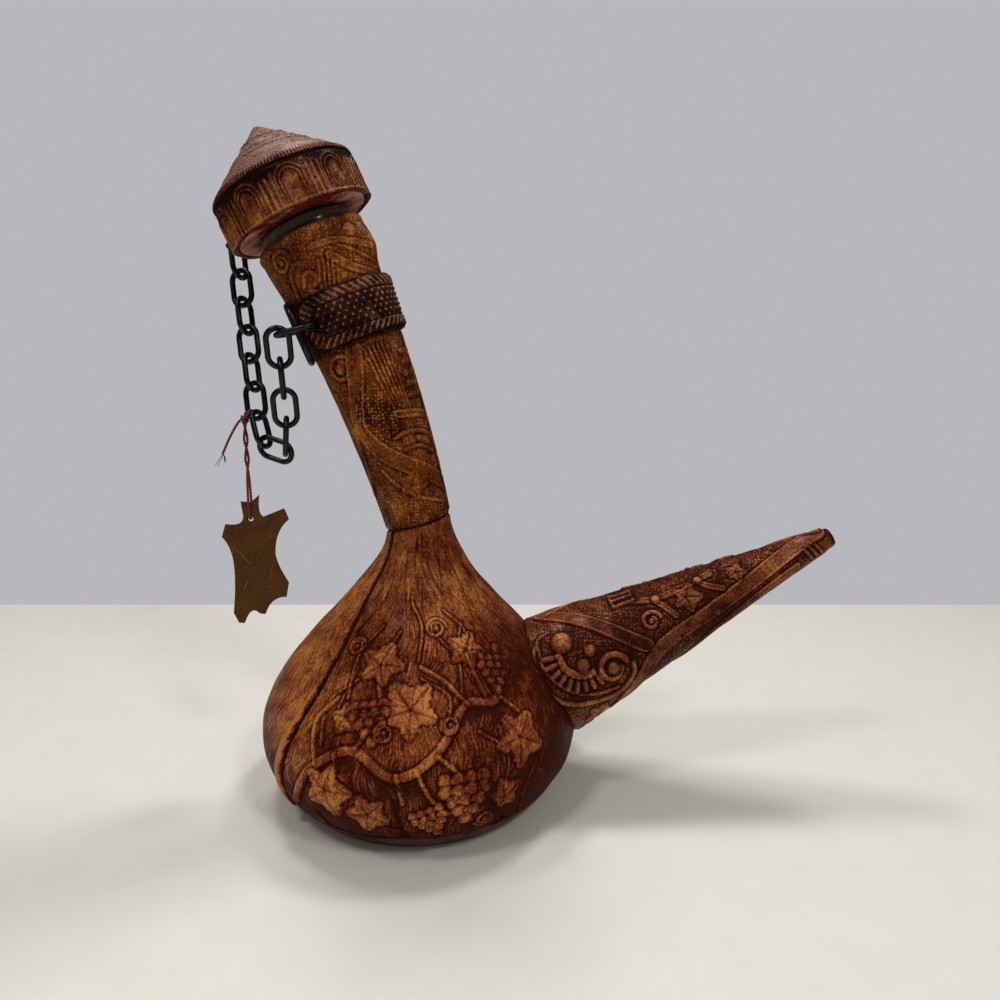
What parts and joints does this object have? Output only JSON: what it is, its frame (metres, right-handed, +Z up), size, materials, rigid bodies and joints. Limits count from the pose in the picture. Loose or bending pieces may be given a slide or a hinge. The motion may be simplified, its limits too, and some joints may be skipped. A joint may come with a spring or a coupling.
{
  "type": "leather-wrapped decanter",
  "caption": "Pear-shaped glass decanter in tooled leather, with a leaning neck, a tapering spout, and a corked cap on a chain.",
  "frame": {"origin": "middle of the flat base, on the table", "axes": "+Z up along the body's axis, +X towards the spout, +Y away from the viewer of the picture"},
  "size_m": [0.2564, 0.134, 0.2687],
  "materials": {
    "tooled_leather": "tooled and antiqued, waxed sheen",
    "dark_leather": "tooled, dark, waxed sheen",
    "roof_leather": "stamped, glossy",
    "base_leather": "plain, dark, satin",
    "lining_leather": "matt, undyed",
    "tag_leather": "satin",
    "bottle_glass": "glossy",
    "block_wood": "plain",
    "cork": "matt",
    "eye_steel": "blackened",
    "chain_plastic": "glossy black",
    "red_thread": "waxed twine"
  },
  "bodies": {
    "bottle": {"glass_bottle": "bottle_glass", "body_front_panel": "tooled_leather", "body_back_panel": "tooled_leather", "base_panel": "base_leather", "neck_sleeve": "tooled_leather", "spout_sleeve": "tooled_leather", "collar_strap": "dark_leather", "collar_link": "chain_plastic", "collar_ring": "chain_plastic"},
    "cap": {"cap_band": "dark_leather", "cap_roof": "roof_leather", "cap_lining": "lining_leather", "cap_block": "block_wood", "stopper_cork": "cork", "cap_eye": "eye_steel"},
    "cap_strand": {"chain_link_a": "chain_plastic", "chain_link_b": "chain_plastic", "chain_link_c": "chain_plastic", "chain_link_d": "chain_plastic", "chain_link_e": "chain_plastic"},
    "thread": {"thread_knot": "red_thread"},
    "tag": {"thread_strand": "red_thread", "tag": "tag_leather"},
    "collar_strand": {"chain_link_j": "chain_plastic", "chain_link_k": "chain_plastic", "chain_link_l": "chain_plastic"},
    "link_f": {"chain_link_f": "chain_plastic"},
    "link_g": {"chain_link_g": "chain_plastic"},
    "link_h": {"chain_link_h": "chain_plastic"},
    "link_i": {"chain_link_i": "chain_plastic"}
  },
  "joints": [
    {"name": "cap_pull", "type": "slide", "parent": "bottle", "child": "cap", "axis": [-0.4226, 0, 0.9063], "range_m": [0, 0.0135]},
    {"name": "cap_strand_turn", "type": "hinge", "parent": "cap", "child": "cap_strand", "pos_m": [-0.0736, 0.01412, 0.22847], "axis": [0, -1, 0], "range_deg": [-4.68, 0]},
    {"name": "link_f_turn", "type": "hinge", "parent": "cap_strand", "child": "link_f", "pos_m": [-0.06484, -0.00149, 0.16985], "axis": [0, -1, 0], "range_deg": [-2.91, 0]},
    {"name": "thread_turn", "type": "hinge", "parent": "link_f", "child": "thread", "pos_m": [-0.06712, -0.00279, 0.16035], "axis": [0, -1, 0], "range_deg": [-6.71, 0]},
    {"name": "collar_strand_turn", "type": "hinge", "parent": "bottle", "child": "collar_strand", "pos_m": [-0.0484, -0.02178, 0.19053], "axis": [0, -1, 0], "range_deg": [-26.05, 0]},
    {"name": "link_i_turn", "type": "hinge", "parent": "collar_strand", "child": "link_i", "pos_m": [-0.04908, -0.01346, 0.15891], "axis": [0, -1, 0], "range_deg": [-5.51, 0]},
    {"name": "link_h_turn", "type": "hinge", "parent": "link_i", "child": "link_h", "pos_m": [-0.05118, -0.00982, 0.14524], "axis": [0, -1, 0], "range_deg": [-9.22, 0]},
    {"name": "link_g_turn", "type": "hinge", "parent": "link_h", "child": "link_g", "pos_m": [-0.05971, -0.00747, 0.14775], "axis": [0, -1, 0], "range_deg": [0, 15.31]},
    {"name": "tag_swing", "type": "hinge", "parent": "thread", "child": "tag", "pos_m": [-0.06925, -0.00237, 0.15901], "axis": [1, 0, 0], "range_deg": [-35, 35]}
  ],
  "couplings": [
    {"joint": "cap_strand_turn", "follows": "cap_pull", "rad_per_m": -5.9212},
    {"joint": "link_f_turn", "follows": "cap_pull", "rad_per_m": -3.6329},
    {"joint": "thread_turn", "follows": "cap_pull", "rad_per_m": -8.5457},
    {"joint": "collar_strand_turn", "follows": "cap_pull", "rad_per_m": -33.549},
    {"joint": "link_i_turn", "follows": "cap_pull", "rad_per_m": -6.9943},
    {"joint": "link_h_turn", "follows": "cap_pull", "rad_per_m": -11.791},
    {"joint": "link_g_turn", "follows": "cap_pull", "rad_per_m": 19.664}
  ]
}
